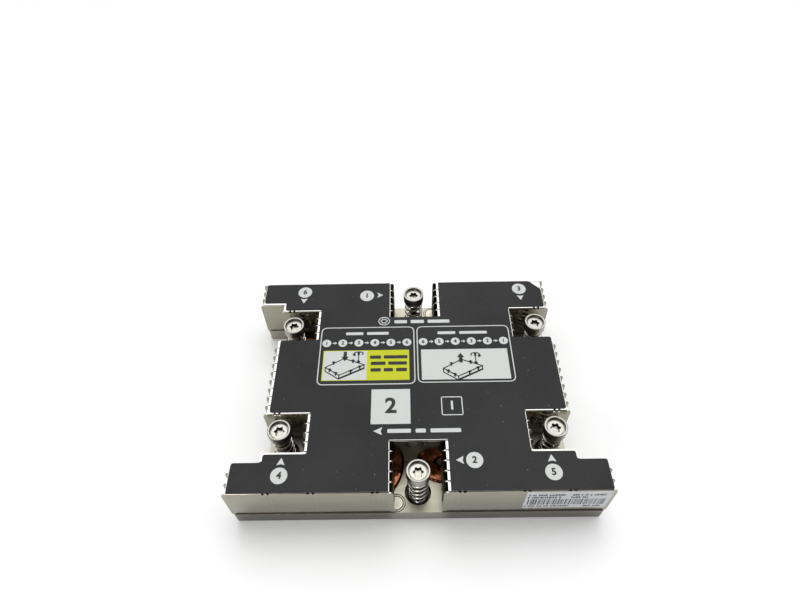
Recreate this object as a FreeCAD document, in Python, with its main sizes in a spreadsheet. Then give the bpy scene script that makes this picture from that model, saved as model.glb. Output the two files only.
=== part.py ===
import FreeCAD, Part
import math
import os

import Sketcher

# Passive heatsink for a server processor, in millimetres.
# The origin is on the table under the middle of the base, +Z is up, -X is the end that faces the
# front of the server, and -Y is the long side with the sticker.
# A stack of folded fins stands on a base plate. Heat pipes lie in grooves of the base, under the
# fins. Six spring-loaded captive screws stand in notches of the fin stack.

SIZES = [
    # base plate
    ("contact_height", 0.6, "height of the raised contact face under the base"),
    ("contact_length", 76.0, "contact face, left to right"),
    ("contact_width", 73.0, "contact face, front to back"),
    ("base_thickness", 6.6, "base plate without its contact face"),
    ("base_inset", 0.1, "base edge inside the fin ends"),
    ("base_ledge", 0.3, "base edge outside the first and last fin"),
    ("base_corner", 1.5, "corner radius of the base"),
    # fin stack
    ("stack_depth", 101.8, "front face of the first fin to back face of the last"),
    ("fin_count", 26, "number of fin rows"),
    ("fin_height", 19.1, "height of a fin"),
    ("fin_sheet", 0.4, "thickness of the fin sheet"),
    ("fin_bend", 0.35, "reach of the flat that stands for a fold's outer bend"),
    ("fin_gap", 0.05, "flange edge to the next fin"),
    ("tab_length", 1.3, "fin plate beyond the end of its flanges"),
    ("tab_corner", 1.2, "cut corner at the top of the fin plate's ends"),
    ("wing_rows", 3, "pitches in a wing of the stack"),
    ("wing_span", 72.15, "middle to fin end in the front wings"),
    ("back_wing_span", 70.9, "middle to fin end in the back left wing"),
    ("main_span", 61.4, "middle to fin end between the wings"),
    ("well_span", 44.8, "middle to fin end beside the corner screws"),
    ("lead_rows", 4, "pitches between the stack's face and a corner well"),
    ("well_rows", 4, "pitches in a corner well"),
    ("slot_span", 9.2, "middle to fin end in the centre notches"),
    ("slot_rows", 5, "pitches in a centre notch"),
    ("lock_tongue", 1.5, "tongue between two lock slits"),
    ("lock_slit", 1.1, "width of a lock slit"),
    ("lock_depth", 0.9, "how far a lock slit cuts down into the fold"),
    ("lock_reach", 1.1, "how far a lock slit runs back from the fold"),
    ("lock_inner", 15.9, "middle to the inner locks"),
    ("lock_middle", 39.3, "middle to the middle locks"),
    ("lock_outer", 55.8, "middle to the outer locks"),
    # captive screws
    ("screw_side", 53.9, "middle to the corner screws, left and right"),
    ("screw_lean", 0.81, "corner screw nearer the middle than the centre of its well"),
    ("screw_inset", 7.85, "centre screw behind the stack's face"),
    ("head_radius", 4.55, "radius of a screw head"),
    ("head_height", 5.5, "height of a screw head"),
    ("head_stand", 0.9, "screw head above the label"),
    ("rim_width", 0.85, "wall of the cup in the head"),
    ("cup_depth", 1.3, "depth of the cup in the head"),
    ("socket_radius", 1.95, "middle to the tip of a socket lobe"),
    ("socket_core", 1.38, "middle to the valley between two lobes"),
    ("socket_depth", 2.2, "depth of the six-lobe socket"),
    ("neck_radius", 1.6, "radius of the thin neck above the thread"),
    ("thread_radius", 2.0, "radius of the thread"),
    ("thread_play", 0.25, "thread to the wall of the hole it passes"),
    ("tip_stand", 0.3, "screw tip above the contact plane"),
    ("well_radius", 5.15, "radius of the wells round a screw"),
    ("underside_corner", 3.0, "cut corner of the eight-sided recess under a well"),
    ("web_thickness", 1.2, "web of the base that holds a spring"),
    ("web_stand", 2.6, "underside of the web above the contact plane"),
    # springs and retaining rings
    ("spring_radius", 3.6, "middle of the spring to the middle of its wire"),
    ("spring_wire", 1.1, "thickness of the spring wire"),
    ("spring_turns", 4, "working turns of a spring"),
    ("closed_turns", 0.5, "closed turns at each end of a spring"),
    ("spring_facets", 8, "straight pieces in a turn"),
    ("spring_play", 0.05, "spring end to its seat"),
    ("ring_radius", 3.6, "radius of a retaining ring"),
    ("ring_seat", 1.72, "middle to a corner of the ring's opening"),
    ("ring_thickness", 0.7, "thickness of a retaining ring"),
    ("ring_play", 0.05, "retaining ring to the thread and the web"),
    # heat pipes
    ("pipe_width", 7.6, "width of a flattened heat pipe"),
    ("pipe_thickness", 3.0, "thickness of a flattened heat pipe"),
    ("groove_play", 0.15, "pipe to the wall of its groove"),
    ("wide_bend", 14.5, "bend radius of the wide pipes"),
    ("wide_bend_side", 23.8, "middle to the bend centre of the wide pipes"),
    ("wide_bend_inset", 20.3, "bend centre of the wide pipes behind the stack's face"),
    ("wing_leg_end", 68.0, "middle to the end of the leg that serves the front left wing"),
    ("main_leg_end", 58.0, "middle to the end of the other outer legs"),
    ("wide_inner_end", 34.0, "middle to the end of the wide pipes' inner leg"),
    ("tight_bend", 7.1, "bend radius of the tight pipes"),
    ("tight_bend_side", 10.4, "middle to the bend centre of the tight pipes"),
    ("tight_bend_inset", 22.3, "bend centre of the tight pipes behind the stack's face"),
    ("tight_inner_end", 44.0, "middle to the end of the tight pipes' inner leg"),
    # pressed plugs
    ("plug_side", 8.6, "middle to a plug, left or right"),
    ("plug_inset", 3.6, "plug behind the stack's face"),
    ("plug_radius", 3.5, "radius of a plug"),
    ("plug_depth", 3.0, "depth of a plug"),
    ("plug_play", 0.08, "plug to the wall of its hole"),
    # label and sticker
    ("label_thickness", 0.3, "thickness of the top label"),
    ("label_end_inset", 2.2, "label edge inside the fin ends"),
    ("label_front_inset", 0.8, "label edge behind the front of the stack"),
    ("label_plate_inset", 1.3, "label edge behind a fin's face"),
    ("label_tip_inset", 0.1, "label edge before a flange's edge"),
    ("label_shift", 0.35, "label off centre, to the right"),
    ("label_cut", 5.0, "cut corner of the label at the back right"),
    ("sticker_thickness", 0.1, "thickness of the sticker"),
    ("sticker_inset", 1.35, "sticker inside the fin's end"),
    ("sticker_length", 31.4, "length of the sticker"),
    ("sticker_low", 3.3, "sticker above the foot of the fin"),
    ("sticker_drop", 0.6, "sticker below the top of the fin"),
]

doc = FreeCAD.newDocument("ServerHeatsink")
sheet = doc.addObject("Spreadsheet::Sheet", "Sizes")
for line, (alias, number, note) in enumerate(SIZES, start=1):
    sheet.set(f"A{line}", note)
    sheet.set(f"B{line}", str(number))
    sheet.setAlias(f"B{line}", alias)
doc.recompute()


def value(expression):
    """The number that a spreadsheet expression gives now."""
    return float(sheet.evalExpression(expression))


# Places that several pieces share, as spreadsheet expressions.
PITCH = "((Sizes.stack_depth - Sizes.fin_sheet) / (Sizes.fin_count - 1))"
BASE_TOP = "(Sizes.contact_height + Sizes.base_thickness)"
STACK_TOP = f"({BASE_TOP} + Sizes.fin_height)"
LABEL_TOP = f"({STACK_TOP} + Sizes.label_thickness)"
STACK_FRONT = "(-Sizes.stack_depth / 2)"
STACK_BACK = "(Sizes.stack_depth / 2)"
CORNER_REACH = f"({STACK_BACK} - (Sizes.lead_rows + Sizes.well_rows / 2) * {PITCH} - Sizes.screw_lean)"
CENTRE_REACH = f"({STACK_BACK} - Sizes.screw_inset)"
WEB_TOP = "(Sizes.web_stand + Sizes.web_thickness)"
HEAD_TOP = f"({LABEL_TOP} + Sizes.head_stand)"
HEAD_FOOT = f"({HEAD_TOP} - Sizes.head_height)"
RING_TOP = "(Sizes.web_stand - Sizes.ring_play)"

# The six screws in their tightening order: number, x and y.
SCREWS = [
    (1, "0", CENTRE_REACH),
    (2, "0", f"-{CENTRE_REACH}"),
    (3, "Sizes.screw_side", CORNER_REACH),
    (4, "-Sizes.screw_side", f"-{CORNER_REACH}"),
    (5, "Sizes.screw_side", f"-{CORNER_REACH}"),
    (6, "-Sizes.screw_side", CORNER_REACH),
]


def fin_face(row):
    """Front face of a fin row, counted from 0 at the front."""
    return f"({STACK_FRONT} + {row} * {PITCH})"


def back_fin_face(row):
    """Front face of a fin row, counted from 0 at the back."""
    return f"({STACK_BACK} - Sizes.fin_sheet - {row} * {PITCH})"


# ---------------------------------------------------------------- modelling helpers

pieces = []


def new_body(name):
    """A named sub-part, listed for export."""
    body = doc.addObject("PartDesign::Body", name)
    body.Label = name
    body.AllowCompound = True
    pieces.append(body)
    return body


def new_sketch(body, name, plane, lift="0"):
    """A sketch on one of the body's own origin planes, lifted along the plane's normal."""
    base = next(f for f in body.Origin.OriginFeatures if f.Role == plane)
    sketch = body.newObject("Sketcher::SketchObject", name)
    sketch.AttachmentSupport = [(base, "")]
    sketch.MapMode = "FlatFace"
    sketch.setExpression("AttachmentOffset.Base.z", lift)
    return sketch


def hold(sketch, kind, geometry, point, expression):
    """Ties one point's x or y in the sketch to an expression."""
    number = value(expression)
    if abs(number) < 1e-9:
        axis = -2 if kind == "DistanceX" else -1
        sketch.addConstraint(Sketcher.Constraint("PointOnObject", geometry, point, axis))
    elif number > 0:
        index = sketch.addConstraint(Sketcher.Constraint(kind, -1, 1, geometry, point, number))
        sketch.setExpression(f"Constraints[{index}]", expression)
    else:
        index = sketch.addConstraint(Sketcher.Constraint(kind, geometry, point, -1, 1, -number))
        sketch.setExpression(f"Constraints[{index}]", f"-({expression})")


def outline(sketch, edges):
    """Draws a closed outline of upright and level lines.

    Each edge is (axis, place, corner): an upright line at x = place or a level line at y = place,
    and the corner at its end, which is None where sharp, ("round", radius) or ("cut", reach).
    """
    count = len(edges)
    levels = [value(place) for axis, place, corner in edges]
    corners = []
    for index, (axis, place, corner) in enumerate(edges):
        following = levels[(index + 1) % count]
        across, along = (levels[index], following) if axis == "x" else (following, levels[index])
        corners.append(FreeCAD.Vector(across, along, 0))
    steps = [(corners[i] - corners[i - 1]).normalize() for i in range(count)]
    reaches = [value(corner[1]) if corner else 0.0 for axis, place, corner in edges]
    lines = []
    for index, (axis, place, corner) in enumerate(edges):
        start = corners[index - 1] + steps[index] * reaches[index - 1]
        end = corners[index] - steps[index] * reaches[index]
        lines.append(sketch.addGeometry(Part.LineSegment(start, end), False))
        sketch.addConstraint(Sketcher.Constraint("Vertical" if axis == "x" else "Horizontal", lines[index]))
        hold(sketch, "DistanceX" if axis == "x" else "DistanceY", lines[index], 1, place)
    for index, (axis, place, corner) in enumerate(edges):
        after = (index + 1) % count
        if not corner:
            sketch.addConstraint(Sketcher.Constraint("Coincident", lines[index], 2, lines[after], 1))
            continue
        kind, size = corner
        reach = reaches[index]
        start = corners[index] - steps[index] * reach
        end = corners[index] + steps[after] * reach
        if kind == "cut":
            cut = sketch.addGeometry(Part.LineSegment(start, end), False)
            sketch.addConstraint(Sketcher.Constraint("Coincident", lines[index], 2, cut, 1))
            sketch.addConstraint(Sketcher.Constraint("Coincident", cut, 2, lines[after], 1))
            near, far = ("DistanceY", "DistanceX") if axis == "x" else ("DistanceX", "DistanceY")
            back = "-" if steps[index].x + steps[index].y > 0 else "+"
            on = "+" if steps[after].x + steps[after].y > 0 else "-"
            hold(sketch, near, cut, 1, f"{edges[after][1]} {back} {size}")
            hold(sketch, far, cut, 2, f"{place} {on} {size}")
            continue
        centre = start + steps[after] * reach
        middle = centre + (corners[index] - centre).normalize() * reach
        arc = sketch.addGeometry(Part.Arc(start, middle, end), False)
        left_turn = steps[index].cross(steps[after]).z > 0
        first, last = (1, 2) if left_turn else (2, 1)
        sketch.addConstraint(Sketcher.Constraint("Tangent", lines[index], 2, arc, first))
        sketch.addConstraint(Sketcher.Constraint("Tangent", arc, last, lines[after], 1))
        rule = sketch.addConstraint(Sketcher.Constraint("Radius", arc, reach))
        sketch.setExpression(f"Constraints[{rule}]", size)


def box_outline(sketch, left, right, low, high, upper=None, lower=None):
    """Draws a rectangle, whose upper and lower corners are set apart."""
    outline(sketch, [("x", left, upper), ("y", high, upper), ("x", right, lower), ("y", low, lower)])


def polar_outline(sketch, corners):
    """Draws a closed outline of straight lines through corners given as (reach, degrees)."""
    count = len(corners)
    places = [(f"{reach} * cos({angle})", f"{reach} * sin({angle})") for reach, angle in corners]
    points = [FreeCAD.Vector(value(across), value(along), 0) for across, along in places]
    for index in range(count):
        sketch.addGeometry(Part.LineSegment(points[index], points[(index + 1) % count]), False)
    for index, (across, along) in enumerate(places):
        sketch.addConstraint(Sketcher.Constraint("Coincident", index, 2, (index + 1) % count, 1))
        hold(sketch, "DistanceX", index, 1, across)
        hold(sketch, "DistanceY", index, 1, along)


def circle(sketch, across, along, radius):
    """Draws a circle whose centre and radius follow expressions."""
    centre = FreeCAD.Vector(value(across), value(along), 0)
    ring = sketch.addGeometry(Part.Circle(centre, FreeCAD.Vector(0, 0, 1), value(radius)), False)
    hold(sketch, "DistanceX", ring, 3, across)
    hold(sketch, "DistanceY", ring, 3, along)
    rule = sketch.addConstraint(Sketcher.Constraint("Radius", ring, value(radius)))
    sketch.setExpression(f"Constraints[{rule}]", radius)


def pad(body, sketch, length, backwards=False):
    feature = body.newObject("PartDesign::Pad", sketch.Name + "Pad")
    feature.Profile = sketch
    feature.setExpression("Length", length)
    feature.Reversed = backwards
    body.Tip = feature
    return feature


def pocket(body, sketch, length=None, backwards=False):
    """Cuts a sketch into the body: to a depth, or right through both ways."""
    feature = body.newObject("PartDesign::Pocket", sketch.Name + "Pocket")
    feature.Profile = sketch
    if length is None:
        feature.Type = "ThroughAll"
        feature.SideType = "Symmetric"
    else:
        feature.setExpression("Length", length)
    feature.Reversed = backwards
    body.Tip = feature
    return feature


def revolve(body, sketch):
    feature = body.newObject("PartDesign::Revolution", sketch.Name + "Turned")
    feature.Profile = sketch
    feature.ReferenceAxis = (sketch, ["V_Axis"])
    feature.Angle = 360
    body.Tip = feature
    return feature


def place(body, x="0", y="0", z="0"):
    body.setExpression("Placement.Base.x", x)
    body.setExpression("Placement.Base.y", y)
    body.setExpression("Placement.Base.z", z)


# ---------------------------------------------------------------- base plate and heat pipes

# Each heat pipe is a flat U: side is -1 for the left and 1 for the right, end is -1 for the front
# and 1 for the back. The wide pipes serve the front left and back right, the tight ones the others.
# The last word is how far the outer leg reaches: further where the base has a wing.
PIPES = [
    ("heat_pipe_front_left", "wide", -1, -1, "Sizes.wing_leg_end"),
    ("heat_pipe_front_right", "tight", 1, -1, "Sizes.main_leg_end"),
    ("heat_pipe_back_left", "tight", -1, 1, "Sizes.main_leg_end"),
    ("heat_pipe_back_right", "wide", 1, 1, "Sizes.main_leg_end"),
]


def pipe_outline(body, form, side, end, leg_end, half, lift):
    """Sketches the U of a heat pipe in plan: an outer leg, a half-turn bend and an inner leg.

    The centre of the bend, the legs' ends and half the width come as expressions.
    """
    sketch = new_sketch(body, "PipePlan", "XY_Plane", lift)
    bend_x = f"{side} * Sizes.{form}_bend_side"
    bend_y = f"{end} * ({STACK_BACK} - Sizes.{form}_bend_inset)"
    ends = [f"{side} * {leg_end}", f"{side} * Sizes.{form}_inner_end"]
    centre = FreeCAD.Vector(value(bend_x), value(bend_y), 0)
    sides = []
    for radius in (f"(Sizes.{form}_bend + {half})", f"(Sizes.{form}_bend - {half})"):
        reach = value(radius)
        outer, inner = (FreeCAD.Vector(0, turn * end * reach, 0) + centre for turn in (1, -1))
        crown = centre - FreeCAD.Vector(side * reach, 0, 0)
        outer_end, inner_end = (FreeCAD.Vector(value(ends[leg]), (outer, inner)[leg].y, 0) for leg in (0, 1))
        leg = sketch.addGeometry(Part.LineSegment(outer_end, outer), False)
        arc = sketch.addGeometry(Part.Arc(outer, crown, inner), False)
        far_leg = sketch.addGeometry(Part.LineSegment(inner, inner_end), False)
        first, last = (1, 2) if side * end > 0 else (2, 1)
        sketch.addConstraint(Sketcher.Constraint("Horizontal", leg))
        sketch.addConstraint(Sketcher.Constraint("Horizontal", far_leg))
        sketch.addConstraint(Sketcher.Constraint("Tangent", leg, 2, arc, first))
        sketch.addConstraint(Sketcher.Constraint("Tangent", arc, last, far_leg, 1))
        rule = sketch.addConstraint(Sketcher.Constraint("Radius", arc, reach))
        sketch.setExpression(f"Constraints[{rule}]", radius)
        hold(sketch, "DistanceX", arc, 3, bend_x)
        hold(sketch, "DistanceY", arc, 3, bend_y)
        hold(sketch, "DistanceX", leg, 1, ends[0])
        hold(sketch, "DistanceX", far_leg, 2, ends[1])
        sides.append((leg, far_leg, outer_end, inner_end))
    (leg, far_leg, *wide_ends), (near_leg, near_far_leg, *narrow_ends) = sides
    for line, point, other, start, finish in ((leg, 1, near_leg, wide_ends[0], narrow_ends[0]),
                                              (far_leg, 2, near_far_leg, wide_ends[1], narrow_ends[1])):
        cap = sketch.addGeometry(Part.LineSegment(start, finish), False)
        sketch.addConstraint(Sketcher.Constraint("Coincident", line, point, cap, 1))
        sketch.addConstraint(Sketcher.Constraint("Coincident", cap, 2, other, point))
    return sketch


def base_plate():
    """Nickel-plated plate: contact face below, wings, screw wells, pipe grooves and plug holes."""
    body = new_body("base_plate")
    contact = new_sketch(body, "Contact", "XY_Plane")
    box_outline(contact, "-Sizes.contact_length / 2", "Sizes.contact_length / 2",
                "-Sizes.contact_width / 2", "Sizes.contact_width / 2")
    pad(body, contact, "Sizes.contact_height + Sizes.base_thickness / 2")

    # Wings reach out under the long fins: both at the front, only the left one at the back.
    plan = new_sketch(body, "Plan", "XY_Plane", "Sizes.contact_height")
    corner = ("round", "Sizes.base_corner")
    front = f"({STACK_FRONT} - Sizes.base_ledge)"
    back = f"({STACK_BACK} + Sizes.base_ledge)"
    wing_back_edge = f"({fin_face('Sizes.wing_rows')} + Sizes.base_ledge)"
    back_wing_edge = f"({back_fin_face('Sizes.wing_rows')} - Sizes.base_ledge)"
    main = "(Sizes.main_span - Sizes.base_inset)"
    wing = "(Sizes.wing_span - Sizes.base_inset)"
    back_wing = "(Sizes.back_wing_span - Sizes.base_inset)"
    outline(plan, [
        ("y", front, corner), ("x", wing, corner), ("y", wing_back_edge, None),
        ("x", main, corner), ("y", back, corner), ("x", f"-{back_wing}", corner),
        ("y", back_wing_edge, None), ("x", f"-{main}", None),
        ("y", wing_back_edge, corner), ("x", f"-{wing}", corner),
    ])
    pad(body, plan, "Sizes.base_thickness")

    wells = new_sketch(body, "Wells", "XY_Plane", BASE_TOP)
    undersides = new_sketch(body, "Undersides", "XY_Plane")
    underside_corner = ("cut", "Sizes.underside_corner")
    bores = new_sketch(body, "Bores", "XY_Plane")
    for number, x, y in SCREWS:
        circle(wells, x, y, "Sizes.well_radius")
        box_outline(undersides, f"{x} - Sizes.well_radius", f"{x} + Sizes.well_radius",
                    f"{y} - Sizes.well_radius", f"{y} + Sizes.well_radius", underside_corner, underside_corner)
        circle(bores, x, y, "Sizes.thread_radius + Sizes.thread_play")
    pocket(body, wells, f"{BASE_TOP} - {WEB_TOP}")
    pocket(body, undersides, "Sizes.web_stand", backwards=True)
    pocket(body, bores)

    plugs = new_sketch(body, "PlugHoles", "XY_Plane", BASE_TOP)
    for side in (-1, 1):
        circle(plugs, f"{side} * Sizes.plug_side", f"{side} * ({STACK_BACK} - Sizes.plug_inset)",
               "Sizes.plug_radius + Sizes.plug_play")
    pocket(body, plugs, "Sizes.plug_depth")

    for name, form, side, end, leg_end in PIPES:
        half = "(Sizes.pipe_width / 2 + Sizes.groove_play)"
        groove = pipe_outline(body, form, side, end, f"({leg_end} + Sizes.groove_play)", half, BASE_TOP)
        pocket(body, groove, "Sizes.pipe_thickness")


def heat_pipe(name, form, side, end, leg_end):
    """Copper pipe pressed flat into its groove, flush with the base."""
    body = new_body(name)
    place(body, z=f"{BASE_TOP} - Sizes.pipe_thickness")
    plan = pipe_outline(body, form, side, end, leg_end, "Sizes.pipe_width / 2", "0")
    pad(body, plan, "Sizes.pipe_thickness")


def press_plug(name, side):
    """Round plug pressed flush into the base."""
    body = new_body(name)
    place(body, f"{side} * Sizes.plug_side", f"{side} * ({STACK_BACK} - Sizes.plug_inset)", BASE_TOP)
    face = new_sketch(body, "Face", "XY_Plane")
    circle(face, "0", "0", "Sizes.plug_radius")
    pad(body, face, "Sizes.plug_depth", backwards=True)


# ---------------------------------------------------------------- fins

def fin_spans(row):
    """The fin's left and right ends and whether a centre notch parts it, by its place in the stack."""
    from_face = min(row, round(value("Sizes.fin_count")) - 2 - row)
    parted = from_face < value("Sizes.slot_rows")
    if 0 <= from_face - value("Sizes.lead_rows") < value("Sizes.well_rows"):
        return "Sizes.well_span", "Sizes.well_span", parted
    if from_face >= value("Sizes.wing_rows"):
        return "Sizes.main_span", "Sizes.main_span", parted
    if row == from_face:
        return "Sizes.wing_span", "Sizes.wing_span", parted
    return "Sizes.back_wing_span", "Sizes.main_span", parted


def fin_row(row):
    """One row of folded sheet: an upright plate with a flange folded back at top and bottom.

    The plate runs on as a tab past both ends of its flanges, also beside a centre notch.
    The last row has no flanges, because no fin follows it.
    """
    body = new_body(f"fin_row_{row + 1:02d}")
    place(body, y=fin_face(row), z=BASE_TOP)
    left, right, parted = fin_spans(row)
    last = row == round(value("Sizes.fin_count")) - 1
    if not last:
        section = new_sketch(body, "Fold", "YZ_Plane", f"Sizes.tab_length - {left}")
        edge = f"{PITCH} - Sizes.fin_gap"
        bend = ("cut", "Sizes.fin_bend")
        outline(section, [
            ("x", "0", bend), ("y", "Sizes.fin_height", None), ("x", edge, None),
            ("y", "Sizes.fin_height - Sizes.fin_sheet", None), ("x", "Sizes.fin_sheet", None),
            ("y", "Sizes.fin_sheet", None), ("x", edge, None), ("y", "0", bend),
        ])
        pad(body, section, f"{left} + {right} - 2 * Sizes.tab_length")
        if parted:
            notch = new_sketch(body, "Notch", "XZ_Plane")
            reach = "(Sizes.slot_span + Sizes.tab_length)"
            box_outline(notch, f"-{reach}", reach, "-Sizes.fin_sheet", "Sizes.fin_height + Sizes.fin_sheet")
            pocket(body, notch)

    plate = new_sketch(body, "Plate", "XZ_Plane")
    low, high = ("0", "Sizes.fin_height") if last else ("Sizes.fin_bend", "Sizes.fin_height - Sizes.fin_bend")
    runs = [(f"-{left}", right)]
    if parted:
        runs = [(f"-{left}", "-Sizes.slot_span"), ("Sizes.slot_span", right)]
    for start, end in runs:
        box_outline(plate, start, end, low, high, upper=("cut", "Sizes.tab_corner"))
    pad(body, plate, "Sizes.fin_sheet", backwards=True)
    return body


def lock_slits(body, places):
    """Pairs of slits in a fold, with the lock's tongue left between them."""
    slits = new_sketch(body, "Locks", "XY_Plane", "Sizes.fin_height")
    for middle in places:
        for side in (-1, 1):
            inner = f"({middle} + {side} * Sizes.lock_tongue / 2)"
            outer = f"({middle} + {side} * (Sizes.lock_tongue / 2 + Sizes.lock_slit))"
            start, end = (inner, outer) if side > 0 else (outer, inner)
            box_outline(slits, start, end, "-Sizes.fin_sheet", "Sizes.lock_reach")
    pocket(body, slits, "Sizes.lock_depth")


# ---------------------------------------------------------------- screws, springs and rings

def captive_screw(number, x, y):
    """Captive screw: cup-rimmed head with a six-lobe socket, thin neck and a thread at the tip.

    Neck and thread have twelve sides, because the screw repeats.
    """
    body = new_body(f"screw_{number}")
    place(body, x, y)
    section = new_sketch(body, "Section", "XZ_Plane")
    cup_floor = f"{HEAD_TOP} - Sizes.cup_depth"
    thread_top = f"{RING_TOP} - Sizes.ring_thickness - Sizes.ring_play"
    outline(section, [
        ("x", "0", None), ("y", cup_floor, None),
        ("x", "Sizes.head_radius - Sizes.rim_width", None), ("y", HEAD_TOP, None),
        ("x", "Sizes.head_radius", None), ("y", HEAD_FOOT, None),
    ])
    revolve(body, section)
    for name, radius, foot, top in (("Neck", "Sizes.neck_radius", thread_top, HEAD_FOOT),
                                    ("Thread", "Sizes.thread_radius", "Sizes.tip_stand", thread_top)):
        shank = new_sketch(body, name, "XY_Plane", foot)
        polar_outline(shank, [(radius, 30 * step) for step in range(12)])
        pad(body, shank, f"{top} - {foot}")
    socket = new_sketch(body, "Socket", "XY_Plane", cup_floor)
    polar_outline(socket, [(("Sizes.socket_radius", "Sizes.socket_core")[step % 2], 30 * step) for step in range(12)])
    pocket(body, socket, "Sizes.socket_depth")


def spring(number, x, y):
    """Compression spring of square wire in straight pieces, with closed turns at both ends."""
    foot = value(f"{WEB_TOP} + Sizes.spring_play")
    top = value(f"{HEAD_FOOT} - Sizes.spring_play")
    wire = value("Sizes.spring_wire")
    radius = value("Sizes.spring_radius")
    turns = value("Sizes.spring_turns")
    closed = value("Sizes.closed_turns")
    facets = value("Sizes.spring_facets")
    closed_rise = wire + value("Sizes.spring_play")
    open_rise = (top - foot - wire - 2 * closed * closed_rise) / turns
    heights = [foot + wire / 2]
    for step in range(round((turns + 2 * closed) * facets)):
        working = closed * facets <= step < (turns + closed) * facets
        heights.append(heights[-1] + (open_rise if working else closed_rise) / facets)
    rings = []
    for step, height in enumerate(heights):
        angle = 2 * math.pi * step / facets
        ring = [FreeCAD.Vector(r * math.cos(angle), r * math.sin(angle), height + h)
                for r, h in ((radius - wire / 2, -wire / 2), (radius + wire / 2, -wire / 2),
                             (radius + wire / 2, wire / 2), (radius - wire / 2, wire / 2))]
        rings.append(ring)
    faces = [Part.Face(Part.makePolygon(rings[0] + rings[0][:1])),
             Part.Face(Part.makePolygon(rings[-1] + rings[-1][:1]))]
    for near, far in zip(rings, rings[1:]):
        for corner in range(4):
            after = (corner + 1) % 4
            for patch in ((near[corner], near[after], far[after]), (near[corner], far[after], far[corner])):
                faces.append(Part.Face(Part.makePolygon(list(patch) + [patch[0]])))
    solid = Part.Solid(Part.makeShell(faces))
    if solid.Volume < 0:
        solid.reverse()
    feature = doc.addObject("Part::Feature", f"spring_{number}")
    feature.Label = f"spring_{number}"
    feature.Shape = solid
    feature.setExpression("Placement.Base.x", x)
    feature.setExpression("Placement.Base.y", y)
    pieces.append(feature)


def retaining_ring(number, x, y):
    """Twelve-sided slotted ring, pushed on the neck from the side, between web and thread."""
    body = new_body(f"retaining_ring_{number}")
    place(body, x, y, f"{RING_TOP} - Sizes.ring_thickness")
    plan = new_sketch(body, "Plan", "XY_Plane")
    polar_outline(plan, [("Sizes.ring_radius", 30 * step + 15) for step in range(12)])
    pad(body, plan, "Sizes.ring_thickness")
    seat = new_sketch(body, "Seat", "XY_Plane")
    polar_outline(seat, [("Sizes.ring_seat", 30 * step + 15) for step in range(12)])
    pocket(body, seat)
    slot = new_sketch(body, "Slot", "XY_Plane")
    box_outline(slot, "0", "Sizes.ring_radius", "-Sizes.neck_radius", "Sizes.neck_radius")
    pocket(body, slot)


# ---------------------------------------------------------------- label and sticker

def top_label():
    """Thin label whose outline follows the fin stack's, a little inside it."""
    body = new_body("top_label")
    place(body, x="Sizes.label_shift", z=STACK_TOP)
    plan = new_sketch(body, "Plan", "XY_Plane")
    inset = "Sizes.label_end_inset"
    plate, edge = "Sizes.label_plate_inset", "Sizes.label_tip_inset"
    front = f"({STACK_FRONT} + Sizes.label_front_inset)"
    back = f"({STACK_BACK} - {edge})"
    wing, back_wing = f"(Sizes.wing_span - {inset})", f"(Sizes.back_wing_span - {inset})"
    main, well = f"(Sizes.main_span - {inset})", f"(Sizes.well_span - {inset})"
    slot = f"(Sizes.slot_span + {inset})"
    front_slot = f"({fin_face('Sizes.slot_rows')} + {plate})"
    back_slot = f"({back_fin_face('Sizes.slot_rows')} - {edge})"
    wing_edge = f"({fin_face('Sizes.wing_rows')} - {edge})"
    well_front = f"({fin_face('Sizes.lead_rows')} - {edge})"
    well_back = f"({fin_face('(Sizes.lead_rows + Sizes.well_rows)')} + {plate})"
    back_well_front = f"({back_fin_face('(Sizes.lead_rows + Sizes.well_rows)')} - {edge})"
    back_well_back = f"({back_fin_face('Sizes.lead_rows')} + {plate})"
    back_wing_edge = f"({back_fin_face('Sizes.wing_rows')} + {plate})"
    cut_corner = ("cut", "Sizes.label_cut")
    outline(plan, [
        ("y", front, None), ("x", wing, None), ("y", wing_edge, None), ("x", main, None),
        ("y", well_front, None), ("x", well, None), ("y", well_back, None), ("x", main, None),
        ("y", back_well_front, None), ("x", well, None), ("y", back_well_back, None), ("x", main, cut_corner),
        ("y", back, None), ("x", slot, None), ("y", back_slot, None), ("x", f"-{slot}", None),
        ("y", back, None), ("x", f"-{back_wing}", None), ("y", back_wing_edge, None),
        ("x", f"-{main}", None),
        ("y", back_well_back, None), ("x", f"-{well}", None), ("y", back_well_front, None), ("x", f"-{main}", None),
        ("y", well_back, None), ("x", f"-{well}", None), ("y", well_front, None), ("x", f"-{main}", None),
        ("y", wing_edge, None), ("x", f"-{wing}", None), ("y", front, None), ("x", f"-{slot}", None),
        ("y", front_slot, None), ("x", slot, None),
    ])
    pad(body, plan, "Sizes.label_thickness")


def front_sticker():
    """Small sticker on the front fin, at the right."""
    body = new_body("front_sticker")
    place(body, y=STACK_FRONT, z=BASE_TOP)
    face = new_sketch(body, "Face", "XZ_Plane")
    far = "Sizes.wing_span - Sizes.sticker_inset"
    box_outline(face, f"{far} - Sizes.sticker_length", far,
                "Sizes.sticker_low", "Sizes.fin_height - Sizes.sticker_drop")
    pad(body, face, "Sizes.sticker_thickness")


# ---------------------------------------------------------------- the assembly

base_plate()
for name, form, side, end, leg_end in PIPES:
    heat_pipe(name, form, side, end, leg_end)
press_plug("press_plug_front", -1)
press_plug("press_plug_back", 1)

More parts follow.
